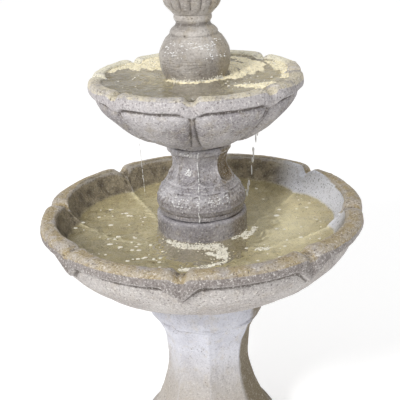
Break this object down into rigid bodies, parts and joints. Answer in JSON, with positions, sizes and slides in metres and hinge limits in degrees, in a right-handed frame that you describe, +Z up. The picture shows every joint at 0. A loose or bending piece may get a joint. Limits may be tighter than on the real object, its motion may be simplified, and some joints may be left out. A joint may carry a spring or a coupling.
{
  "type": "tiered water fountain",
  "caption": "Free-standing cast-stone garden fountain: stacked lobed bowls on a faceted pedestal and vase column, a ball and fluted bud on top, and a pump hidden in the drum.",
  "frame": {"origin": "on the ground, on the vertical axis that every casting is stacked along", "axes": "+Z up; -Y is the front, towards the viewer; +X is the viewer's right"},
  "size_m": [0.8666, 0.8666, 1.4],
  "materials": {
    "pedestal_stone": "dry cast stone, pale grey with a cool cast, fine pits",
    "basin_stone": "cast stone, pale pinkish grey outside, tan mineral film on the rim and below the water line",
    "wet_stone": "wet cast stone, mauve grey, speckled",
    "upper_stone": "cast stone, mauve grey, speckled, tan rim",
    "finial_stone": "wet cast stone, mauve grey",
    "black_rubber": "matt rubber",
    "grey_pvc": "moulded pvc",
    "clear_vinyl": "cloudy clear vinyl",
    "copper": "copper, dulled",
    "brass": "brass, dulled",
    "stainless": "brushed stainless steel",
    "pump_plastic": "black moulded plastic",
    "impeller_plastic": "blue moulded plastic",
    "ferrite": "ferrite magnet",
    "core_iron": "laminated iron",
    "white_ceramic": "polished ceramic",
    "filter_foam": "open foam",
    "water": "clear water, only in the visual model"
  },
  "bodies": {
    "base": {"pedestal": "pedestal_stone", "lower_bowl_shims": "black_rubber"},
    "lower_bowl_body": {"lower_bowl": "basin_stone", "drum_shims": "black_rubber", "standpipe": "grey_pvc", "standpipe_gasket": "black_rubber", "standpipe_nut": "grey_pvc", "hose": "clear_vinyl", "clamp_bands": "stainless", "clamp_screws": "stainless", "outlet_barb": "grey_pvc", "pump_casing": "pump_plastic", "stator_core": "core_iron", "stator_coil": "copper", "volute_o_ring": "black_rubber", "pump_volute": "pump_plastic", "volute_screws": "stainless", "shaft_bushes": "black_rubber", "rotor_shaft": "white_ceramic", "suction_feet": "black_rubber", "cable_gland": "black_rubber"},
    "drum_body": {"pump_drum": "wet_stone", "column_shims": "black_rubber"},
    "column_body": {"column": "wet_stone", "upper_bowl_shims": "black_rubber"},
    "upper_bowl_body": {"upper_bowl": "upper_stone", "finial_shims": "black_rubber", "riser_pipe": "copper", "bowl_fitting": "grey_pvc", "fitting_gasket": "black_rubber", "fitting_nut": "grey_pvc"},
    "ball_body": {"finial_ball": "finial_stone"},
    "bud_body": {"finial_bud": "finial_stone", "spout_nozzle": "brass"},
    "rotor_body": {"impeller": "impeller_plastic", "rotor_magnet": "ferrite"},
    "intake_body": {"intake_cover": "pump_plastic", "filter_sponge": "filter_foam"},
    "dial_body": {"flow_dial": "pump_plastic"},
    "drain_plug_body": {"drain_plug": "black_rubber"}
  },
  "joints": [
    {"name": "lower_bowl_lift", "type": "slide", "parent": "base", "child": "lower_bowl_body", "axis": [0, 0, 1], "range_m": [0, 0.06]},
    {"name": "drum_lift", "type": "slide", "parent": "lower_bowl_body", "child": "drum_body", "axis": [0, 0, 1], "range_m": [0, 0.42]},
    {"name": "column_lift", "type": "slide", "parent": "drum_body", "child": "column_body", "axis": [0, 0, 1], "range_m": [0, 0.21]},
    {"name": "upper_bowl_lift", "type": "slide", "parent": "column_body", "child": "upper_bowl_body", "axis": [0, 0, 1], "range_m": [0, 0.06]},
    {"name": "ball_lift", "type": "slide", "parent": "upper_bowl_body", "child": "ball_body", "axis": [0, 0, 1], "range_m": [0, 0.38]},
    {"name": "bud_lift", "type": "slide", "parent": "ball_body", "child": "bud_body", "axis": [0, 0, 1], "range_m": [0, 0.11]},
    {"name": "drain_plug_pull", "type": "slide", "parent": "lower_bowl_body", "child": "drain_plug_body", "axis": [0, 0, 1], "range_m": [0, 0.06]},
    {"name": "intake_cover_pull", "type": "slide", "parent": "lower_bowl_body", "child": "intake_body", "axis": [1, 0, 0], "range_m": [0, 0.03]},
    {"name": "flow_dial_turn", "type": "hinge", "parent": "intake_body", "child": "dial_body", "pos_m": [0.048, 0, 0.592], "axis": [1, 0, 0], "range_deg": [0, 90]},
    {"name": "impeller_spin", "type": "hinge", "parent": "lower_bowl_body", "child": "rotor_body", "pos_m": [0, 0, 0.592], "axis": [1, 0, 0], "continuous": true}
  ]
}
